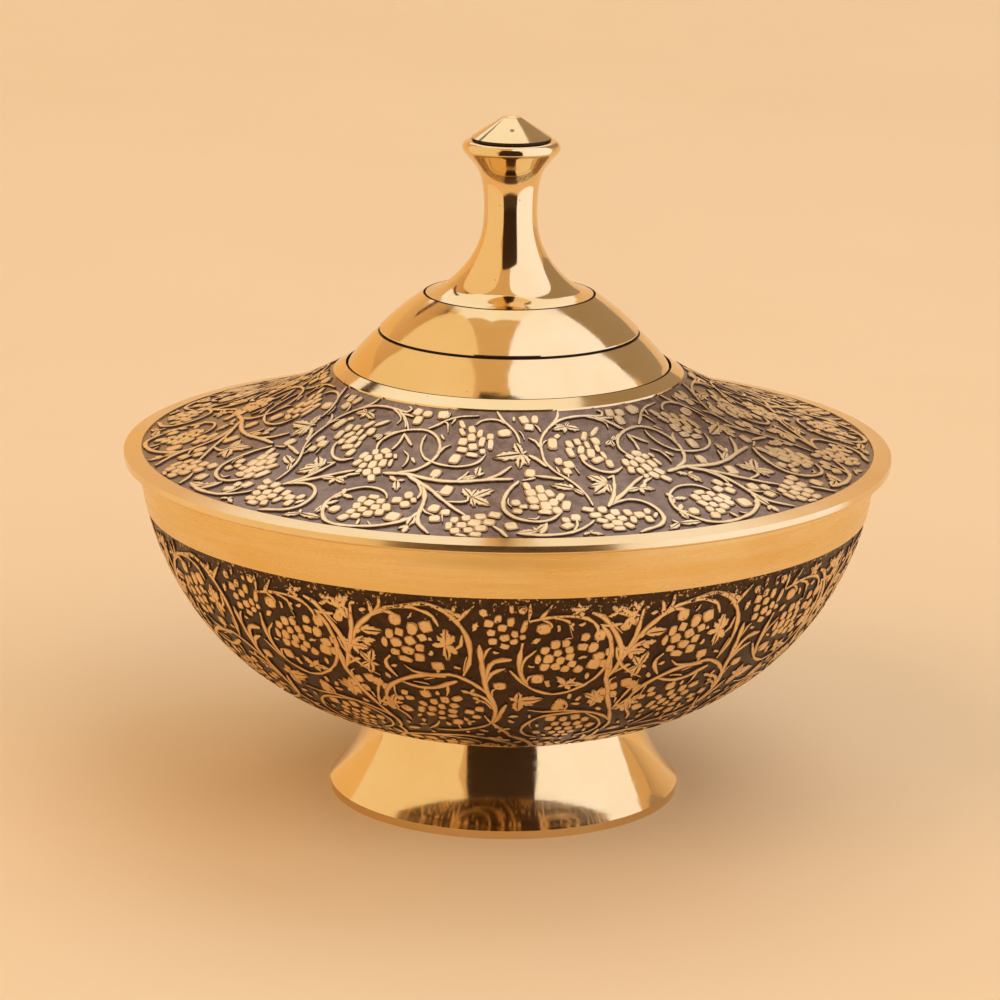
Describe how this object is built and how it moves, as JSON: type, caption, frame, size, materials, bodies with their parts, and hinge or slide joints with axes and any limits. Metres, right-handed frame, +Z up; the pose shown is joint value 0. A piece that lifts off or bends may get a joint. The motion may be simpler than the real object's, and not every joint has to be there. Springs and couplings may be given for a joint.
{
  "type": "lidded sweet bowl",
  "caption": "Round metal bowl on a hollow flared foot, with a hollow-curved lift-off lid, a stepped dome and a turned finial, for serving sweets.",
  "frame": {"origin": "centre of the foot's resting ring, on the table surface", "axes": "+Z up along the turning axis, towards the finial; the vessel is round, so +X and +Y are free"},
  "size_m": [0.16, 0.16, 0.1433],
  "materials": {
    "polished_brass": "mirror polished",
    "etched_brass": "etched, with a dark patina in the grounds and satin plain bands",
    "fixing_brass": "plain turned"
  },
  "bodies": {
    "bowl_body": {"bowl": "etched_brass", "foot": "polished_brass", "foot_bolt": "fixing_brass", "bowl_washer": "fixing_brass", "foot_washer": "fixing_brass", "foot_nut": "fixing_brass"},
    "lid": {"lid_brim": "etched_brass", "lid_dome": "polished_brass", "lid_collar": "fixing_brass", "finial": "polished_brass", "finial_screw": "fixing_brass", "finial_washer": "fixing_brass"}
  },
  "joints": [
    {"name": "lid_lift", "type": "slide", "parent": "bowl_body", "child": "lid", "axis": [0, 0, 1], "range_m": [0, 0.1]}
  ]
}
